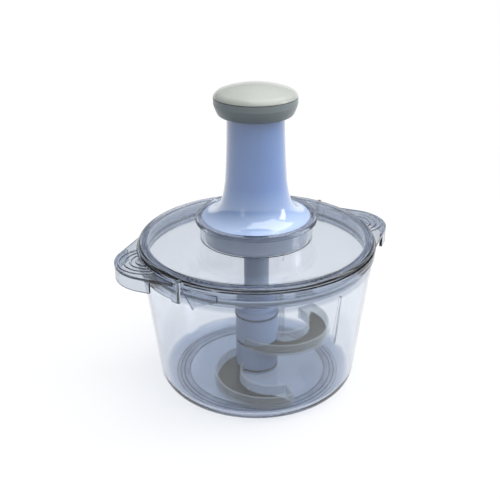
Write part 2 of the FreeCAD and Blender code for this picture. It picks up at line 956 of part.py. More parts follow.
revolve(lid, "turret", [
    (turret_foot - turret_wall, plate_top - turret_bite),
    (turret_foot, plate_top - turret_bite),
    (turret_foot, plate_top),
    (edge_lean, turret_edge),
    (turret_out, turret_edge),
    (turret_out, turret_top),
    (turret_mouth - turret_wall, turret_top),
    (turret_foot - turret_wall, plate_top),
])
lug_in = rim_radius + size("lug_gap")
lug_out = lug_in + size("lug_thick")
lug_low = flange_low + size("rim_gap") * 2
lug = upright_plate(lid, "lock_lug", [
    (skirt + size("skirt_wall"), lug_low),
    (lug_in, lug_low),
    (lug_in, rim - size("lug_drop")),
    (lug_out, rim - size("lug_drop")),
    (lug_out, rim + size("lug_high")),
    (skirt + size("skirt_wall"), rim + size("lug_high")),
], size("lug_width"), size("lug_angle"))
around(lid, "lock_lugs", [lug], 2)

turned("lid_seal", [
    (groove_root, groove_low),
    (wall_inside(groove_low) - size("seal_gap"), groove_low),
    (wall_inside(groove_top) - size("seal_gap"), groove_top),
    (groove_root, groove_top),
])

# Pump housing: bell that stands in the turret and a neck that guides the plunger.
base = plate_top
shell = size("housing_wall")
bell_high = base + size("bell_edge_high")
bell_low = bell_high - size("bell_lip")
bell_foot = bell_low - size("bell_lip") / 2
bell = turret_mouth - turret_wall - size("bell_gap")
foot_out = turret_foot - turret_wall - size("housing_gap")
tube = size("tube_radius")
tube_run = tube + size("guide_fit")
neck_bore = tube_run + size("guide_wall")
neck_out = neck_bore + size("neck_wall")
neck_foot = neck_out + size("neck_foot_flare")
neck_foot_z = base + size("neck_foot_high")
neck_mid_z = base + size("neck_mid_high")
neck_top_z = base + size("neck_high")
guide_low = neck_top_z - size("guide_length")
housing = turned("housing", [
    (foot_out - shell, base),
    (foot_out, base),
    (foot_out, bell_foot),
    (bell, bell_low),
    (bell, bell_high),
    arc_to(neck_foot, neck_foot_z, size("bell_curve"), "left"),
    arc_to(neck_out + size("neck_mid_flare"), neck_mid_z, size("bell_curve") * 5, "left"),
    arc_to(neck_out, neck_top_z, size("bell_curve") * 39, "left"),
    (neck_bore, neck_top_z),
    (neck_bore, guide_low - size("stop_high")),
    (neck_foot - shell, neck_foot_z),
    arc_to(foot_out - shell, bell_foot, size("bell_curve") + shell, "right"),
])
bearing_low = base + size("plate_gap")
bearing_top = bearing_low + size("plate_thick")
cover_base = bearing_top + size("cover_foot")
plate_radius = foot_out - shell - size("seat_gap")
post_circle = plate_radius - size("post_inset")
screw_count = int(sheet.get("screw_count"))
screw_spots = spread(post_circle, screw_count, 90)
screw_top = cover_base + size("screw_bite")
posts(housing, "screw_posts", screw_spots, size("post_radius"),
      cover_base, cover_base + size("post_high"))
holes(housing, "screw_holes", screw_spots, size("screw_radius"), cover_base, screw_top)

guide_out = neck_out - size("seat_gap")
turned("guide_bush", [
    (tube_run, guide_low),
    (neck_bore, guide_low),
    (neck_bore, neck_top_z),
    (guide_out, neck_top_z),
    (guide_out, neck_top_z + size("guide_flange_high")),
    (tube_run, neck_top_z + size("guide_flange_high")),
])

# Bearing plate screwed up against the housing's posts, with the spring's seat between them.
screw_hole = size("screw_radius") + size("housing_fit")
head_top = bearing_low + size("screw_head_high") + size("housing_fit")
plate = turned("bearing_plate", section(bush_hole, bearing_low, plate_radius, bearing_top))
holes(plate, "plate_holes", screw_spots, screw_hole, bearing_low, bearing_top)
holes(plate, "plate_sinks", screw_spots, size("screw_head") + size("housing_fit"),
      bearing_low, head_top)

bush_edge = bush_wide + size("bush_flange")
flange_out = bush_edge - size("seat_gap")
bush_flange_top = bearing_top + size("bush_flange_high")
shaft_seat = bush_flange_top + size("seat_gap")
shaft_top = shaft_seat + size("shaft_flange_high")
dog_top = shaft_top + size("dog_high")
nut_dogs = dog_top + size("clutch_gap")
nut_low = nut_dogs + size("dog_high")
nut_top = nut_low + size("nut_high")
cover_in = flange_out + size("cover_room")
cover = cover_in + size("cover_wall")
cover_top = nut_top + size("seat_gap") + size("cover_wall")
tube_in = tube - size("tube_wall")
wire = size("coil_wire")
coil = tube_in - size("coil_room") - wire / 2
rod_wide = size("rod_width")
rod_thick = size("rod_thick")
rod_reach = root(rod_wide * rod_wide + rod_thick * rod_thick) / 2
bore = rod_reach + size("shaft_bore_room")
spigot = coil - wire / 2 - size("spigot_room")
seat = turned("spring_seat", [
    (cover_in, bearing_top),
    (post_circle + size("post_radius"), bearing_top),
    (post_circle + size("post_radius"), cover_base),
    (cover, cover_base),
    (cover, cover_top),
    (spigot, cover_top),
    (spigot, cover_top + size("spigot_high")),
    (bore, cover_top + size("spigot_high")),
    (bore, cover_top - size("cover_wall")),
    (cover_in, cover_top - size("cover_wall")),
])
holes(seat, "seat_holes", screw_spots, screw_hole, bearing_top, cover_base)


def screw_set(label, spots, head_low, head, shank_low, shank_top, head_high):
    """Group of equal screws, each turned on its own axis and set in its place."""
    shank = size("screw_radius")
    below = shank_low.number < head_low.number
    bodies = []
    for index, (x, y) in enumerate(spots, start=1):
        if below:
            corners = [(0, shank_low), (shank, shank_low), (shank, head_low), (head, head_low),
                       (head, head_low + head_high), (0, head_low + head_high)]
        else:
            corners = [(0, head_low), (head, head_low), (head, head_low + head_high),
                       (shank, head_low + head_high), (shank, shank_top), (0, shank_top)]
        screw = turned("%s_%d" % (label, index), corners)
        screw.setExpression(".Placement.Base.x", as_size(x).formula)
        screw.setExpression(".Placement.Base.y", as_size(y).formula)
        bodies.append(screw)
    group = doc.addObject("Part::Compound", label)
    group.Label = label
    group.Links = bodies
    doc.recompute()


screw_set("plate_screws", screw_spots, bearing_low + size("housing_fit"), size("screw_head"),
          head_top, screw_top, size("screw_head_high"))

# Shaft bush in the middle of the lid and the bearing plate.
turned("shaft_bush", [
    (bush_run, plate_low),
    (bush_wide, plate_low),
    (bush_wide, bearing_top),
    (bush_edge, bearing_top),
    (bush_edge, bush_flange_top),
    (bush_run, bush_flange_top),
])

# Drive shaft: splined end for the blade set below, dogs for the nut above.
rod_low = nut_dogs - size("travel") - size("rod_spare")
shaft_low = socket_low + size("shaft_pin_gap")
bore_low = rod_low - size("shaft_bore_spare")
drive_shaft = turned("drive_shaft", [
    (0, shaft_low),
    (shaft - size("spline_proud"), shaft_low),
    (shaft, shaft_low + size("spline_proud")),
    (shaft, shaft_seat),
    (flange_out, shaft_seat),
    (flange_out, shaft_top),
    (bore, shaft_top),
    (bore, bore_low),
    (0, bore_low),
])
spline_low = shaft_low + size("spline_proud")
spline = pad(drive_shaft, "spline", rectangle(
    shaft / 2, -size("spline_width") / 2, spline_reach, size("spline_width") / 2,
), spline_low, spline_low + size("spline_high"))
around(drive_shaft, "splines", [spline], size("spline_count"))
dog_out = flange_out - size("seat_gap")
dog_shape = rectangle(
    dog_out - size("dog_length"), -size("dog_width") / 2, dog_out, size("dog_width") / 2)
dog = pad(drive_shaft, "dog", dog_shape, shaft_top, dog_top)
around(drive_shaft, "dogs", [dog], size("dog_count"))

# Drive nut: a twisted slot that the strip slides through, which turns the nut.
nut_blank = turned("nut_blank", [
    (0, nut_low),
    (flange_out, nut_low),
    (flange_out, nut_top),
    (0, nut_top),
])
nut_dog = pad(nut_blank, "nut_dog", dog_shape, nut_dogs, nut_low)
around(nut_blank, "nut_dogs", [nut_dog], size("dog_count"))
tube_top = neck_top_z + size("tube_proud")
tube_plate = tube_top - size("tube_end")
twist_top = tube_plate - size("seat_gap")


def strip_section(width, thick, height, angle):
    """Rectangle of a flat strip at one height, turned about the axis."""
    corners = []
    for side, edge in ((1, 1), (-1, 1), (-1, -1), (1, -1)):
        corner = Vector(side * width / 2, edge * thick / 2, height)
        corners.append(FreeCAD.Rotation(Vector(0, 0, 1), angle).multVec(corner))
    return Part.makePolygon(corners + [corners[0]])


def twisted_strip(low, high, width, thick):
    """Right-handed strip whose sections turn evenly, and lie along X at the top of the twist."""
    lead = size("rod_lead").number
    steps = int(math.ceil((high - low) / lead * 24))
    sections = []
    for step in range(steps + 1):
        height = low + (high - low) * step / steps
        angle = (height - twist_top.number) / lead * 360
        sections.append(strip_section(width, thick, height, angle))
    return Part.makeLoft(sections, True, True)


slot_room = size("rod_gap").number * 2
cutter = doc.addObject("Part::Feature", "nut_slot")
cutter.Shape = twisted_strip(
    nut_dogs.number - slot_room, nut_top.number + slot_room,
    rod_wide.number + slot_room, rod_thick.number + slot_room)
nut = doc.addObject("Part::Cut", "drive_nut")
nut.Base = nut_blank
nut.Tool = cutter
nut.Label = "drive_nut"
doc.recompute()

# Twisted strip, straight where it is held in the knob.
pin_r = size("rod_pin_radius")
web_top = tube_top + size("knob_web")
pin_z = web_top + pin_r
twisted = twisted_strip(
    rod_low.number, twist_top.number, rod_wide.number, rod_thick.number)
straight = Part.makeBox(
    rod_wide.number, rod_thick.number, (tube_top + size("rod_proud") - twist_top).number,
    Vector(-rod_wide.number / 2, -rod_thick.number / 2, twist_top.number))
pin_hole = Part.makeCylinder(
    pin_r.number, rod_thick.number * 2,
    Vector(0, -rod_thick.number, pin_z.number), Vector(0, 1, 0))
rod = doc.addObject("Part::Feature", "twist_rod")
rod.Shape = twisted.fuse(straight).cut(pin_hole)
rod.Label = "twist_rod"

rod_pin = doc.addObject("Part::Cylinder", "rod_pin")
rod_pin.Label = "rod_pin"
rod_pin.setExpression("Radius", "sizes.rod_pin_radius")
rod_pin.setExpression("Height", "sizes.rod_pin_length")
rod_pin.Placement = FreeCAD.Placement(
    Vector(0, 0, 0), FreeCAD.Rotation(Vector(1, 0, 0), -90))
rod_pin.setExpression(".Placement.Base.y", "-sizes.rod_pin_length / 2")
rod_pin.setExpression(".Placement.Base.z", pin_z.formula)

# Plunger tube with a stop flange at its foot and the knob's plate at its top.
tube_low = guide_low - size("travel") - size("stop_high") * 2
plunger = turned("plunger_tube", [
    (tube_in, tube_low),
    (neck_bore - size("stop_gap"), tube_low),
    (neck_bore - size("stop_gap"), tube_low + size("stop_high")),
    (tube, tube_low + size("stop_high")),
    (tube, tube_top),
    (0, tube_top),
    (0, tube_plate),
    (tube_in, tube_plate),
])
slot_x = rod_wide / 2 + size("guide_fit")
slot_y = rod_thick / 2 + size("guide_fit")
pocket(plunger, "rod_slot", rectangle(-slot_x, -slot_y, slot_x, slot_y), tube_plate, tube_top)
knob_spots = spread(tube_in - size("knob_screw_inset"), screw_count)
thread_low = tube_top - size("knob_screw_deep")
holes(plunger, "knob_threads", knob_spots, size("screw_radius"), thread_low, tube_top)

# Knob base: cup with a web that is screwed down on the tube.
knob = neck_out + size("knob_overhang")
knob_low = tube_top - size("knob_skirt")
cup_top = tube_top + size("knob_cup")
waist_z = knob_low + size("knob_waist_high")
shoulder_z = knob_low + size("knob_shoulder_high")
seat_radius = knob - size("knob_rim")
knob_bore = knob - size("knob_wall")
web_hole = rod_reach + size("knob_web")
knob_base = turned("knob_base", [
    (knob_bore - size("knob_bore_taper"), knob_low),
    (knob - size("knob_foot_inset"), knob_low),
    arc_to(knob - size("knob_waist_inset"), waist_z, size("knob_waist_high") * 3 / 2, "right"),
    arc_to(knob, shoulder_z, knob, "right"),
    (knob, cup_top),
    (seat_radius, cup_top),
    (seat_radius, web_top),
    (web_hole, web_top),
    (web_hole, tube_top),
    (knob_bore, tube_top),
])
holes(knob_base, "web_holes", knob_spots, screw_hole, tube_top, web_top)

# Palm cap, hollow, pressed into the base with a fine groove left between them.
cap_foot = cup_top + size("knob_groove")
cap_out = seat_radius - size("cap_fit")
cap_side = knob - size("cap_fit")
dome = size("cap_dome_curve")
wall = size("cap_wall")
turn_r = knob - size("cap_turn_inset")
dome_top = cap_foot + size("cap_crown")
turn_z = dome_top - dome + root(dome * dome - turn_r * turn_r)
hollow = dome - wall
spigot_in = cap_out - wall
spigot_low = web_top + size("cap_fit")
under_z = dome_top - dome + root(hollow * hollow - spigot_in * spigot_in)
turned("knob_cap", [
    (spigot_in, spigot_low),
    (cap_out, spigot_low),
    (cap_out, cap_foot),
    (cap_side, cap_foot),
    (cap_side, cap_foot + size("knob_groove")),
    arc_to(turn_r, turn_z, size("cap_side_curve"), "right"),
    arc_to(0, dome_top, dome, "right"),
    (0, dome_top - wall),
    arc_to(spigot_in, under_z, hollow, "left"),
])

screw_set("knob_screws", knob_spots, web_top, size("screw_head"),
          thread_low, web_top, size("screw_head_high"))


def arc_middle(start, way, end):
    """Middle point of the arc that leaves a point in a direction and ends at another."""
    unit = end - start
    half = unit.Length / 2
    unit.normalize()
    side = way - unit * way.dot(unit)
    lean = math.atan2(side.Length, way.dot(unit))
    side.normalize()
    return (start + end) * 0.5 + side * (half * math.tan(lean / 2))


def biarc(start, way_in, end, way_out):
    """Two arcs that leave and arrive along the given directions and meet smoothly."""
    span = end - start
    along = span.dot(way_in + way_out)
    parting = 2 * (1 - way_in.dot(way_out))
    reach = (math.sqrt(along * along + parting * span.dot(span)) - along) / parting
    joint = (start + end + (way_in - way_out) * reach) * 0.5
    return [
        Part.Arc(start, arc_middle(start, way_in, joint), joint).toShape(),
        Part.Arc(joint, arc_middle(end, way_out * -1, joint), end).toShape(),
    ]


# Return spring between its seat and the top of the plunger tube, one unbroken coil.
radius = coil.number
thick = wire.number
turns = size("coil_turns").number
coil_low = cover_top.number + thick / 2
coil_high = tube_plate.number - size("seat_gap").number - thick / 2
rise = (coil_high - coil_low) / turns


def coil_point(turn):
    angle = 2 * math.pi * turn
    return Vector(radius * math.cos(angle), radius * math.sin(angle), coil_low + rise * turn)


def coil_way(turn):
    angle = 2 * math.pi * turn
    way = Vector(-math.sin(angle), math.cos(angle), rise / (2 * math.pi * radius))
    way.normalize()
    return way


arcs_per_turn = 4
first_way = coil_way(0)
last_way = coil_way(turns)
lead_in = coil_point(0) - first_way * thick
lead_out = coil_point(turns) + last_way * thick
edges = [Part.LineSegment(lead_in, coil_point(0)).toShape()]
for step in range(int(turns * arcs_per_turn)):
    before = step / arcs_per_turn
    after = (step + 1) / arcs_per_turn
    edges += biarc(coil_point(before), coil_way(before), coil_point(after), coil_way(after))
edges.append(Part.LineSegment(coil_point(turns), lead_out).toShape())
path = Part.Wire(edges)
ring = Part.Wire([Part.Circle(lead_in, first_way, thick / 2).toShape()])
spring = doc.addObject("Part::Feature", "return_spring")
spring.Shape = path.makePipeShell([ring], True, False)
spring.Label = "return_spring"

# Least gap between neighbouring turns, measured on points a full turn apart.
nearest = min(
    (coil_point(step / 16) - coil_point(step / 16 + 1 + offset / 16)).Length
    for step in range(int(16 * (turns - 1.5)))
    for offset in (-2, -1, 0, 1, 2)
)
print("least gap between turns of return_spring: %.2f mm" % (nearest - thick))

doc.recompute()
nodes = [
    "bowl", "base_ring", "centre_pin", "hub_core", "hub_foot", "lower_blade", "hub_spacer",
    "upper_blade", "hub_body", "hub_cap", "hub_bush", "lower_guard", "upper_guard", "lid",
    "lid_seal", "housing", "guide_bush", "bearing_plate", "spring_seat", "plate_screws",
    "shaft_bush", "drive_shaft", "drive_nut", "twist_rod", "rod_pin", "plunger_tube",
    "knob_base", "knob_cap", "knob_screws", "return_spring",
]
for item in doc.Objects:
    if "Invalid" in item.State or "Error" in item.State:
        raise SystemExit("%s did not compute" % item.Label)
os.makedirs("parts", exist_ok=True)
for label in nodes:
    shape = doc.getObject(label).Shape
    if shape.isNull() or not shape.isValid():
        raise SystemExit("%s is not a sound solid" % label)
    shape.exportStep("parts/%s.step" % label)
    print(label, len(shape.Solids), round(shape.Volume, 1), shape.BoundBox)
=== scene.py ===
# Looks of a plunger food chopper: clear bowl and lid, pale blue pump column, grey palm knob.
# Metres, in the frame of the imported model. The ears lie on X and the bowl stands on Z = 0.
import math

import bpy
from mathutils import Matrix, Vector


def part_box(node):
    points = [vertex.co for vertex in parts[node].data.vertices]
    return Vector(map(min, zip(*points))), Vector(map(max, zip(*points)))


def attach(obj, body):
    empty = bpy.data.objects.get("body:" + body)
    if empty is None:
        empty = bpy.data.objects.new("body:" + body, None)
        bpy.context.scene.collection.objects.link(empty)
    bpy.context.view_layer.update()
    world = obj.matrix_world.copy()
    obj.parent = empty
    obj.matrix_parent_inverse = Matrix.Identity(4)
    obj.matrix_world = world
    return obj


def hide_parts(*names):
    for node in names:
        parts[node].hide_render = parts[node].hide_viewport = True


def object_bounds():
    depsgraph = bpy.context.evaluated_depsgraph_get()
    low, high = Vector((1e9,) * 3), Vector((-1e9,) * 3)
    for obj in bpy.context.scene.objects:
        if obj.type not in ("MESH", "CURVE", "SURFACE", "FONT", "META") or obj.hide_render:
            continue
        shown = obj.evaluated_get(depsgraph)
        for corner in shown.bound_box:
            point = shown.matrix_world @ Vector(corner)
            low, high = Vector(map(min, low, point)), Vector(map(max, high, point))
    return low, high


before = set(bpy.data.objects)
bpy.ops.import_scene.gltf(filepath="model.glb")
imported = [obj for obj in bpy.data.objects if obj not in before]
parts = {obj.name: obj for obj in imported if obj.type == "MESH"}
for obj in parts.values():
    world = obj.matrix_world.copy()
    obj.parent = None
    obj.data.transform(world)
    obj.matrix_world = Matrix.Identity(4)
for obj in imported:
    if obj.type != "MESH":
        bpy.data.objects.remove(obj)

cad_low, cad_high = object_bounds()
bpy.ops.object.select_all(action="DESELECT")

# Camera: a normal lens held a little above the knob, left of the front, looking down into the
# bowl. It stands 58 cm from the axis, and the small shift is the photograph's own framing.
LENS_MM = 57.96
CAMERA_OUT = 0.578
CAMERA_HIGH = 0.3785
CAMERA_ROUND = math.radians(-24)
LOOK_DOWN = math.radians(24.95)
PICTURE_ROLL = math.radians(-0.31)
bpy.ops.object.camera_add()
camera = bpy.context.object
camera.name = "picture_camera"
camera.data.lens = LENS_MM
camera.data.sensor_width = 36
camera.data.shift_x = -0.01284
camera.data.shift_y = 0.002
camera.data.clip_start = 0.01
camera.data.clip_end = 40
camera.matrix_world = (
    Matrix.Translation((CAMERA_OUT * math.sin(CAMERA_ROUND),
                        -CAMERA_OUT * math.cos(CAMERA_ROUND), CAMERA_HIGH))
    @ Matrix.Rotation(CAMERA_ROUND, 4, "Z")
    @ Matrix.Rotation(math.pi / 2 - LOOK_DOWN, 4, "X")
    @ Matrix.Rotation(PICTURE_ROLL, 4, "Z")
)
bpy.context.scene.camera = camera
bpy.context.scene.view_settings.view_transform = "Standard"


# Floor: a wide white sheet of paper. To the eye, and through the clear plastic, it is plain
# white with the chopper's soft shadow; to the light it is a mid grey that throws little back.
def linear(colour):
    """Colour written as sRGB hex, as the linear one that a shader takes."""
    levels = [int(colour[place:place + 2], 16) / 255 for place in (1, 3, 5)]
    return [level / 12.92 if level <= 0.04045 else ((level + 0.055) / 1.055) ** 2.4
            for level in levels] + [1]


def add(tree, kind, sockets, **settings):
    """One node with its settings, and its sockets filled or linked."""
    made = tree.nodes.new("ShaderNode" + kind)
    for name, value in settings.items():
        setattr(made, name, value)
    for name, value in sockets.items():
        if isinstance(value, bpy.types.NodeSocket):
            tree.links.new(value, made.inputs[name])
        else:
            made.inputs[name].default_value = value
    return made


def finish_named(name):
    """New material with nothing in it but its output."""
    material = bpy.data.materials.new(name)
    material.use_nodes = True
    tree = material.node_tree
    tree.nodes.clear()
    return material, tree, add(tree, "OutputMaterial", {})


def greater(tree, first, second):
    """Greater of two numbers."""
    return add(tree, "Math", {0: first, 1: second}, operation="MAXIMUM").outputs["Value"]


def looked_at(tree):
    """1 where the camera sees the surface itself, in gloss or through glass, else 0."""
    path = add(tree, "LightPath", {}).outputs
    direct = greater(tree, path["Is Camera Ray"], path["Is Glossy Ray"])
    return greater(tree, direct, path["Is Transmission Ray"])


PAPER_RADIUS = 7
PAPER_BELOW = 0.0002
bpy.ops.mesh.primitive_circle_add(vertices=128, radius=PAPER_RADIUS, fill_type="NGON",
                                  location=(0, 0, -PAPER_BELOW))
floor = bpy.context.object
floor.name = "paper_floor"
paper, tree, out = finish_named("white_paper_sheet")
where = add(tree, "TexCoord", {}).outputs["Object"]
fibre = add(tree, "TexNoise", {"Vector": where, "Scale": 900, "Detail": 3}).outputs["Fac"]
tooth = add(tree, "Bump", {"Height": fibre, "Distance": 0.00002}).outputs["Normal"]
seen = add(tree, "BsdfDiffuse", {"Color": linear("#FFFFFF"), "Normal": tooth}).outputs["BSDF"]
glow = add(tree, "Emission", {"Color": linear("#FFFFFF"), "Strength": 1.0}).outputs["Emission"]
away = add(tree, "VectorMath", {0: where}, operation="LENGTH").outputs["Value"]
plain = add(tree, "MapRange", {"Value": away, "From Min": 0.12, "From Max": 0.7,
                               "To Min": 0.55, "To Max": 1.0}).outputs["Result"]
bright = add(tree, "MixShader", {"Fac": plain, 1: seen, 2: glow}).outputs["Shader"]
dull = add(tree, "BsdfDiffuse", {"Color": linear("#7B7E82"), "Normal": tooth}).outputs["BSDF"]
sheet = add(tree, "MixShader", {"Fac": looked_at(tree), 1: dull, 2: bright}).outputs["Shader"]
tree.links.new(sheet, out.inputs["Surface"])
floor.data.materials.append(paper)
floor.select_set(False)

# Light: a pale room, brightest overhead, with a large soft box above, one at the right and a
# weak one at the left, all plain white. Behind the paper's far edge the room is seen as white.
world = bpy.data.worlds.new("pale_room")
bpy.context.scene.world = world
world.use_nodes = True
tree = world.node_tree
tree.nodes.clear()
sky = add(tree, "TexCoord", {}).outputs["Generated"]
height = add(tree, "SeparateXYZ", {"Vector": sky}).outputs["Z"]
rise = add(tree, "MapRange", {"Value": height, "From Min": -0.05, "From Max": 0.9},
           interpolation_type="SMOOTHSTEP").outputs["Result"]
room = add(tree, "Mix", {"Factor": rise, 6: linear("#5E6671"), 7: linear("#F1F3F6")},
           data_type="RGBA").outputs[2]
ROOM_BRIGHT_SIDE = (0.9, -0.4, 0)
side = add(tree, "VectorMath", {0: sky, 1: ROOM_BRIGHT_SIDE}, operation="DOT_PRODUCT")
level = add(tree, "MapRange", {"Value": side.outputs["Value"], "From Min": -1, "From Max": 1,
                               "To Min": 0.45, "To Max": 1.35}).outputs["Result"]
BAND_TOP = 0.14
BAND_FADE = 0.08
walls = add(tree, "Background", {"Color": room, "Strength": level}).outputs["Background"]
white = add(tree, "Background", {"Color": linear("#FFFFFF"), "Strength": 1.0})
low_down = add(tree, "MapRange", {"Value": height, "From Min": BAND_TOP + BAND_FADE,
                                  "From Max": BAND_TOP}).outputs["Result"]
beyond_paper = add(tree, "Math", {0: looked_at(tree), 1: low_down},
                   operation="MULTIPLY").outputs["Value"]
backdrop = add(tree, "MixShader", {"Fac": beyond_paper, 1: walls,
                                   2: white.outputs["Background"]}).outputs["Shader"]
tree.links.new(backdrop, add(tree, "OutputWorld", {}).inputs["Surface"])


def soft_box(name, place, target, wide, high, watts):
    """Rectangular lamp with a plain white front, turned to face a point on the chopper."""
    bpy.ops.object.light_add(type="AREA", location=place)
    lamp = bpy.context.object
    lamp.name = name
    lamp.data.shape = "RECTANGLE"
    lamp.data.size = wide
    lamp.data.size_y = high
    lamp.data.energy = watts
    way = lamp.location - target
    lamp.rotation_euler = way.to_track_quat("Z", "Y").to_euler()
    lamp.select_set(False)


chopper_middle = (cad_low + cad_high) / 2
soft_box("overhead_box", (0.3, -0.1, 1.3), chopper_middle, 1.5, 1.2, 11)
soft_box("right_box", (1.2, -0.5, 0.75), chopper_middle, 0.4, 0.9, 4.5)
soft_box("left_box", (-1.2, -0.5, 0.6), chopper_middle, 0.25, 0.7, 0.4)


# Bowl and lid: thick clear moulded plastic, polished in the mould. Flat walls hardly show, and
# rims, ribs and ears go grey-blue where the eye looks along the plastic instead of across it.
# Painted shade also greys the tint of the ears and of all that stands out past the bowl's wall,
# and of the rim band under the lid's skirt; the bowl's floor is painted a darker blue-grey as
# shade.
def blotch(tree, where, size_mm, detail=2.0, rough=0.5):
    """Soft noise whose patches are about the given size."""
    return add(tree, "TexNoise", {"Vector": where, "Scale": 1000 / size_mm, "Detail": detail,
                                  "Roughness": rough}).outputs["Fac"]


def between(tree, amount, first, second):
    """Colour that wanders between two."""
    return add(tree, "Mix", {"Factor": amount, 6: linear(first), 7: linear(second)},
               data_type="RGBA").outputs[2]


def span(tree, amount, low, high):
    """Number that wanders between two, as the noise goes from its usual low to its high."""
    return add(tree, "MapRange", {"Value": amount, "From Min": 0.3, "From Max": 0.7,
                                  "To Min": low, "To Max": high}).outputs["Result"]


def relief(tree, height, depth_mm, over=None):
    """Fine unevenness of the given depth, laid over another one if there is one."""
    sockets = {"Height": height, "Distance": depth_mm / 1000, "Strength": 0.8}
    if over is not None:
        sockets["Normal"] = over
    return add(tree, "Bump", sockets).outputs["Normal"]


def streaks(tree, where, long_mm, fine_mm, turn):
    """Noise drawn out into lines, as wiping or brushing leaves."""
    laid = add(tree, "Mapping", {"Vector": where, "Rotation": turn,
                                 "Scale": (1000 / long_mm, 1000 / fine_mm, 1000 / fine_mm)})
    return add(tree, "TexNoise", {"Vector": laid.outputs["Vector"], "Scale": 1,
                                  "Detail": 2}).outputs["Fac"]


def wear(material, *names):
    """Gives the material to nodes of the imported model."""
    for name in names:
        parts[name].data.materials.clear()
        parts[name].data.materials.append(material)


EAR_FADE = 0.003
FLOOR_HIGH = 0.006
wall_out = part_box("bowl")[1][1]
bowl_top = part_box("bowl")[1][2]
skirt_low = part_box("lid")[0][2]
clear, tree, out = finish_named("clear_polished_moulding")
where = add(tree, "TexCoord", {}).outputs["Object"]
flow = blotch(tree, where, 26)
wipes = streaks(tree, where, 30, 0.25, (0.3, 0.2, 0.9))
eased = add(tree, "Bevel", {"Radius": 0.0007}, samples=6).outputs["Normal"]
ripple = relief(tree, flow, 0.03, eased)
skin = relief(tree, wipes, 0.0006, ripple)
axes = add(tree, "SeparateXYZ", {"Vector": where}).outputs
flat_way = add(tree, "CombineXYZ", {"X": axes["X"], "Y": axes["Y"]}).outputs["Vector"]
out_from_axis = add(tree, "VectorMath", {0: flat_way}, operation="LENGTH").outputs["Value"]
# Painted shade: a greyer tint on the ears and on all that stands out past the bowl's wall.
ear_painted_shade = add(tree, "MapRange", {"Value": out_from_axis, "From Min": wall_out,
                                "From Max": wall_out + EAR_FADE}).outputs["Result"]
# Painted shade: below FLOOR_HIGH the bowl's floor gets a darker blue-grey tint, as it stands over
# its own shadow.
clear_of_floor_shade = add(tree, "MapRange", {"Value": axes["Z"], "From Min": FLOOR_HIGH,
                                   "From Max": FLOOR_HIGH + EAR_FADE}).outputs["Result"]
tone = between(tree, flow, "#F8FAFC", "#FDFEFE")
tone = add(tree, "Mix", {"Factor": ear_painted_shade, 6: tone, 7: linear("#D3D7DD")},
           data_type="RGBA").outputs[2]
tone = add(tree, "Mix", {"Factor": clear_of_floor_shade, 6: linear("#ABB8CD"), 7: tone},
           data_type="RGBA").outputs[2]
# Painted shade: a greyer tint on the band from the lid skirt's foot up to the bowl's top, under
# the lid's rim.
above_skirt = add(tree, "MapRange", {"Value": axes["Z"], "From Min": skirt_low - EAR_FADE,
                                     "From Max": skirt_low}).outputs["Result"]
below_plate = add(tree, "MapRange", {"Value": axes["Z"], "From Min": bowl_top,
                                     "From Max": bowl_top - EAR_FADE}).outputs["Result"]
rim_painted_shade = add(tree, "Math", {0: above_skirt, 1: below_plate}, operation="MULTIPLY").outputs["Value"]
tone = add(tree, "Mix", {"Factor": rim_painted_shade, 6: tone, 7: linear("#D2D8E0")},
           data_type="RGBA").outputs[2]
shell = add(tree, "BsdfPrincipled", {
    "Base Color": tone,
    "Roughness": span(tree, wipes, 0.01, 0.05),
    "IOR": 1.55, "Transmission Weight": 1.0, "Normal": skin,
})
path = add(tree, "LightPath", {}).outputs
lit = greater(tree, path["Is Shadow Ray"], path["Is Diffuse Ray"])
open_way = add(tree, "BsdfTransparent", {"Color": linear("#FCFDFE")}).outputs["BSDF"]
passing = add(tree, "MixShader", {"Fac": lit, 1: shell.outputs["BSDF"], 2: open_way})
dim = add(tree, "VolumeAbsorption", {"Color": linear("#7F98C0"), "Density": 50})
tree.links.new(passing.outputs["Shader"], out.inputs["Surface"])
tree.links.new(dim.outputs["Volume"], out.inputs["Volume"])
wear(clear, "bowl", "lid")


# Foot ring and lid seal: soft grey silicone with a dull skin, pressed into their grooves. The
# foot ring is grooved on both faces; its grooves and all of it below its top face are painted a
# dark grey-blue as shade, so through the bowl's floor the grooves are dark circles.
def spun(name, outline, sides):
    """Closed ring drawn as a circle and carried round its outline of radius and height."""
    radius, height = outline[0]
    bpy.ops.mesh.primitive_circle_add(vertices=sides, radius=radius, location=(0, 0, height))
    ring = bpy.context.object
    ring.name = name
    bpy.ops.object.transform_apply(location=True)
    bpy.ops.object.mode_set(mode="EDIT")
    bpy.ops.mesh.select_all(action="SELECT")
    for next_radius, next_height in outline[1:] + outline[:1]:
        bpy.ops.mesh.extrude_region_move(
            TRANSFORM_OT_translate={"value": (0, 0, next_height - height)})
        bpy.ops.transform.resize(value=(next_radius / radius, next_radius / radius, 1))
        radius, height = next_radius, next_height
    bpy.ops.mesh.select_all(action="SELECT")
    bpy.ops.mesh.remove_doubles(threshold=0.00001)
    bpy.ops.mesh.normals_make_consistent(inside=False)
    bpy.ops.object.mode_set(mode="OBJECT")
    bpy.ops.object.shade_smooth_by_angle(angle=math.radians(50))
    ring.select_set(False)
    return ring


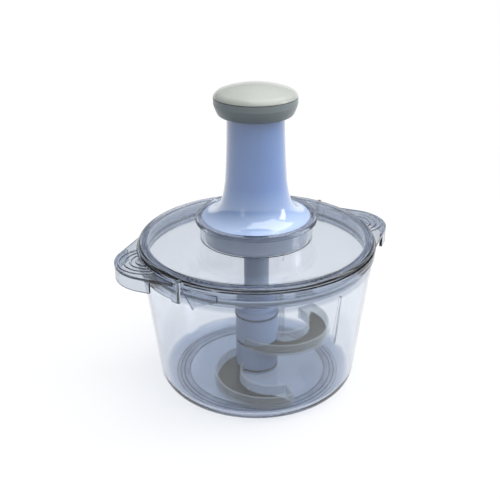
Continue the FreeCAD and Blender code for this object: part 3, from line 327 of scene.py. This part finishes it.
GROOVE_WIDE = 0.0012
GROOVE_DEEP = 0.0007
LIP_EASE = 0.0003
UPPER_GROOVES = (0.0644, 0.0612)
ring_low, ring_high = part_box("base_ring")
ring_out = ring_high[0]
RING_WIDE = 0.0105
ring_in = ring_out - RING_WIDE
lower_grooves = (ring_in + RING_WIDE / 3, ring_out - RING_WIDE / 3)
ring_outline = [(ring_out - LIP_EASE, ring_high[2])]
for middle in UPPER_GROOVES:
    ring_outline += [
        (middle + GROOVE_WIDE / 2, ring_high[2]),
        (middle + GROOVE_WIDE / 4, ring_high[2] - GROOVE_DEEP),
        (middle - GROOVE_WIDE / 4, ring_high[2] - GROOVE_DEEP),
        (middle - GROOVE_WIDE / 2, ring_high[2]),
    ]
ring_outline += [(ring_in + LIP_EASE, ring_high[2]), (ring_in, ring_high[2] - LIP_EASE),
                 (ring_in, ring_low[2] + LIP_EASE), (ring_in + LIP_EASE, ring_low[2])]
for middle in lower_grooves:
    ring_outline += [
        (middle - GROOVE_WIDE / 2, ring_low[2]),
        (middle - GROOVE_WIDE / 4, ring_low[2] + GROOVE_DEEP),
        (middle + GROOVE_WIDE / 4, ring_low[2] + GROOVE_DEEP),
        (middle + GROOVE_WIDE / 2, ring_low[2]),
    ]
ring_outline += [(ring_out - LIP_EASE, ring_low[2]), (ring_out, ring_low[2] + LIP_EASE),
                 (ring_out, ring_high[2] - LIP_EASE)]
grooved_ring = spun("grooved_foot_ring", ring_outline, 192)
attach(grooved_ring, "bowl")
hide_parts("base_ring")

silicone, tree, out = finish_named("grey_silicone_skin")
where = add(tree, "TexCoord", {}).outputs["Object"]
cloud = blotch(tree, where, 14)
grain = blotch(tree, where, 0.35, 3)
level = add(tree, "SeparateXYZ", {"Vector": where}).outputs["Z"]
# Painted shade: below the foot ring's top face and down into its grooves, the skin turns a dark
# grey-blue.
clear_of_groove_shade = add(tree, "MapRange", {"Value": level, "From Min": ring_high[2] - GROOVE_DEEP,
                              "From Max": ring_high[2] - GROOVE_DEEP / 3}).outputs["Result"]
skin = between(tree, cloud, "#C9CFD6", "#D6DBE0")
shaded = add(tree, "Mix", {"Factor": clear_of_groove_shade, 6: linear("#3E454F"), 7: skin},
             data_type="RGBA").outputs[2]
rubber = add(tree, "BsdfPrincipled", {
    "Base Color": shaded,
    "Roughness": span(tree, grain, 0.48, 0.66), "IOR": 1.43,
    "Subsurface Weight": 0.08, "Subsurface Radius": (0.002, 0.002, 0.002),
    "Sheen Weight": 0.1, "Normal": relief(tree, grain, 0.03),
})
tree.links.new(rubber.outputs["BSDF"], out.inputs["Surface"])
wear(silicone, "lid_seal")
grooved_ring.data.materials.append(silicone)


# Hub, drive shaft and inner parts: satin moulded plastic. The hub and the shaft are pale
# grey-blue; collars are eased at their edges, so each joint shows as a fine dark line.
def moulded(name, light, dark, gloss_low, gloss_high, grain_mm, grain_deep, coat=0.0, edge=0.3):
    """Opaque moulded plastic: slight clouding, a fine sparked grain and edges eased by hand."""
    material, tree, out = finish_named(name)
    where = add(tree, "TexCoord", {}).outputs["Object"]
    cloud = blotch(tree, where, 18)
    grain = blotch(tree, where, grain_mm, 3)
    eased = add(tree, "Bevel", {"Radius": edge / 1000}, samples=6).outputs["Normal"]
    plastic = add(tree, "BsdfPrincipled", {
        "Base Color": between(tree, cloud, light, dark),
        "Roughness": span(tree, grain, gloss_low, gloss_high), "IOR": 1.5,
        "Coat Weight": coat, "Coat Roughness": 0.06,
        "Normal": relief(tree, grain, grain_deep, eased),
    })
    tree.links.new(plastic.outputs["BSDF"], out.inputs["Surface"])
    return material


satin_blue = moulded("satin_grey_blue_moulding", "#AFC3E4", "#A6BADD", 0.3, 0.42, 0.5, 0.008)
wear(satin_blue, "hub_core", "hub_foot", "hub_spacer", "hub_body", "hub_cap")
shaft_blue = moulded("satin_pale_shaft_moulding", "#DFE6F2", "#D6DEEC", 0.3, 0.42, 0.5, 0.008)
wear(shaft_blue, "drive_shaft")
inner_white = moulded("matt_inner_moulding", "#B9C1C9", "#AEB6BF", 0.4, 0.55, 0.6, 0.015)
wear(inner_white, "bearing_plate", "spring_seat", "plunger_tube")
waxy = moulded("waxy_bearing_plastic", "#E2E1DA", "#D6D5CE", 0.35, 0.5, 0.4, 0.01)
wear(waxy, "hub_bush", "guide_bush", "shaft_bush", "drive_nut")

# Hub ring: a thin dark grey-blue ring in the groove between the hub's body and its cap. It
# stands a hair proud of the hub, drawn as the one dark line round it.
RING_SUNK = 0.0006
RING_PROUD = 0.0005
RING_HALF = 0.0009
hub_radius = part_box("hub_cap")[1][0]
hub_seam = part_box("hub_cap")[0][2]
seam_ring = spun("hub_seam_ring", [
    (hub_radius - RING_SUNK, hub_seam - RING_HALF),
    (hub_radius, hub_seam - RING_HALF),
    (hub_radius + RING_PROUD, hub_seam - RING_HALF / 2),
    (hub_radius + RING_PROUD, hub_seam + RING_HALF / 2),
    (hub_radius, hub_seam + RING_HALF),
    (hub_radius - RING_SUNK, hub_seam + RING_HALF),
], 96)
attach(seam_ring, "blade_set")
dark_seam_line = moulded("dark_grey_blue_seam_line", "#46536B", "#3D495F", 0.45, 0.6, 0.4, 0.01)
seam_ring.data.materials.append(dark_seam_line)

# Pump housing: one glossy pale blue moulding, a neck that flares into the bell in the turret.
# It is polished, so the soft boxes show on its shoulder as clean white patches. The flare is
# painted paler than the neck as painted light, where it faces up to the overhead light, and the
# skirt inside the turret is painted a greyer, paler tone.
RIM_INSIDE_DEPTH = 0.0015
RIM_TONE_FADE = 0.001
FLARE_TOP = 0.168
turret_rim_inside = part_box("lid")[1][2] - RIM_INSIDE_DEPTH
gloss_blue, tree, out = finish_named("gloss_pale_blue_moulding")
where = add(tree, "TexCoord", {}).outputs["Object"]
cloud = blotch(tree, where, 18)
grain = blotch(tree, where, 1.2, 3)
eased = add(tree, "Bevel", {"Radius": 0.0006}, samples=6).outputs["Normal"]
level = add(tree, "SeparateXYZ", {"Vector": where}).outputs["Z"]
out_of_turret = add(tree, "MapRange", {"Value": level, "From Min": turret_rim_inside - RIM_TONE_FADE,
                                  "From Max": turret_rim_inside}).outputs["Result"]
tone = add(tree, "Mix", {"Factor": out_of_turret, 6: linear("#C3CCDC"),
                         7: between(tree, cloud, "#82AAEA", "#7BA1E2")},
           data_type="RGBA").outputs[2]
# Painted light: from the turret's rim up to FLARE_TOP the flare is painted paler, fading out into
# the neck.
flare_painted_light = add(tree, "MapRange", {"Value": level, "From Min": FLARE_TOP,
                                  "From Max": turret_rim_inside}).outputs["Result"]
flare_painted_light = add(tree, "Math", {0: flare_painted_light, 1: out_of_turret}, operation="MULTIPLY").outputs["Value"]
tone = add(tree, "Mix", {"Factor": flare_painted_light, 6: tone, 7: linear("#BAD0F4")},
           data_type="RGBA").outputs[2]
shell = add(tree, "BsdfPrincipled", {
    "Base Color": tone, "Roughness": span(tree, grain, 0.14, 0.22), "IOR": 1.55,
    "Coat Weight": 1.0, "Coat Roughness": 0.08, "Coat IOR": 1.7,
    "Normal": relief(tree, grain, 0.004, eased),
})
tree.links.new(shell.outputs["BSDF"], out.inputs["Surface"])
wear(gloss_blue, "housing")

# Palm knob: a grey cup with a fine groove under a warm pale grey cap, both in a fine satin that
# hides finger marks. The cup is painted a darker grey than the cap as shade, as it tapers in and
# faces a little downward.
satin_grey = moulded("satin_grey_cup", "#949D9F", "#8B9597", 0.28, 0.38, 0.45, 0.01, edge=0.5)
wear(satin_grey, "knob_base")
warm_grey = moulded("fine_satin_warm_grey_cap", "#BCBFB7", "#B4B7AE", 0.26, 0.38, 0.9, 0.03,
                    coat=0.35, edge=0.5)
wear(warm_grey, "knob_cap")

# Blades: stainless sheet, brushed along its length and sharpened to a bevel on the inside of the
# sickle. Its colour goes by slope: flat faces are a dark olive grey, a painted reflection of a dim
# room; the slanted bevel is a pale bright steel, partly its finer grinding and partly painted
# highlight; the upright edges are darker still, painted dark reflection as well. The brushing
# shows as fine lines with small changes in shine.
brushed, tree, out = finish_named("brushed_stainless_sheet")
where = add(tree, "TexCoord", {}).outputs["Object"]
lines = streaks(tree, where, 12, 0.12, (0, 0, 0.5))
cloud = blotch(tree, where, 9)
slant = add(tree, "SeparateXYZ", {"Vector": add(tree, "NewGeometry", {}).outputs["Normal"]})
flat = add(tree, "Math", {0: slant.outputs["Z"]}, operation="ABSOLUTE").outputs["Value"]
# Painted reflection and highlight: dark on flat and upright faces, pale and bright on the slanted
# bevel.
painted_shine_by_slope = add(tree, "ValToRGB", {"Fac": flat})
painted_shine_by_slope.color_ramp.elements[0].position = 0.6
painted_shine_by_slope.color_ramp.elements[0].color = linear("#D6D4C4")
painted_shine_by_slope.color_ramp.elements[1].position = 0.97
painted_shine_by_slope.color_ramp.elements[1].color = linear("#74756E")
cut = painted_shine_by_slope.color_ramp.elements.new(0.3)
cut.color = linear("#5E5F5C")
tint = between(tree, cloud, "#FFFFFF", "#E9E7DD")
steel = add(tree, "Mix", {"Factor": 1.0, 6: painted_shine_by_slope.outputs["Color"], 7: tint},
            data_type="RGBA", blend_type="MULTIPLY").outputs[2]
eased = add(tree, "Bevel", {"Radius": 0.00015}, samples=6).outputs["Normal"]
sheet_steel = add(tree, "BsdfPrincipled", {
    "Base Color": steel, "Metallic": 1.0, "Roughness": span(tree, lines, 0.24, 0.4),
    "Normal": relief(tree, lines, 0.002, eased),
})
tree.links.new(sheet_steel.outputs["BSDF"], out.inputs["Surface"])
wear(brushed, "lower_blade", "upper_blade")

# Pins, strip, screws and spring: drawn and plated steel, brighter than the blades, with the
# faint lines of turning and rolling.
drawn, tree, out = finish_named("drawn_bright_steel")
where = add(tree, "TexCoord", {}).outputs["Object"]
lines = streaks(tree, where, 0.2, 6, (0, math.pi / 2, 0))
cloud = blotch(tree, where, 5)
wire = add(tree, "BsdfPrincipled", {
    "Base Color": between(tree, cloud, "#BFC1C2", "#AAACAF"), "Metallic": 1.0,
    "Roughness": span(tree, lines, 0.18, 0.32), "Normal": relief(tree, lines, 0.002),
})
tree.links.new(wire.outputs["BSDF"], out.inputs["Surface"])
wear(drawn, "centre_pin", "twist_rod", "rod_pin", "plate_screws", "knob_screws", "return_spring")

# Blade guards: thin milky plastic channels that clip on under the sickles. Light passes, shapes
# behind them blur, and their cut edges look whiter than their walls.
milky, tree, out = finish_named("milky_clip_on_plastic")
where = add(tree, "TexCoord", {}).outputs["Object"]
cloud = blotch(tree, where, 11)
grain = blotch(tree, where, 0.6, 3)
eased = add(tree, "Bevel", {"Radius": 0.0005}, samples=6).outputs["Normal"]
veil = add(tree, "BsdfPrincipled", {
    "Base Color": between(tree, cloud, "#E4E9EC", "#F0F3F4"),
    "Roughness": span(tree, grain, 0.22, 0.36), "IOR": 1.49,
    "Normal": relief(tree, grain, 0.006, eased),
})
look_through = add(tree, "BsdfTransparent", {"Color": linear("#F0F3F5")}).outputs["BSDF"]
rim = add(tree, "LayerWeight", {"Blend": 0.25}).outputs["Facing"]
wall_veil = add(tree, "MapRange", {"Value": rim, "To Min": 0.14, "To Max": 0.6}).outputs["Result"]
face = add(tree, "NewGeometry", {}).outputs["Normal"]
rounded = add(tree, "VectorMath", {0: eased, 1: face}, operation="DOT_PRODUCT").outputs["Value"]
near_edge = add(tree, "MapRange", {"Value": rounded, "From Min": 1.0, "From Max": 0.8,
                                   "To Max": 0.5}).outputs["Result"]
thick = add(tree, "Math", {0: wall_veil, 1: near_edge}, operation="ADD",
            use_clamp=True).outputs["Value"]
channel = add(tree, "MixShader", {"Fac": thick, 1: look_through, 2: veil.outputs["BSDF"]})
tree.links.new(channel.outputs["Shader"], out.inputs["Surface"])
wear(milky, "lower_guard", "upper_guard")
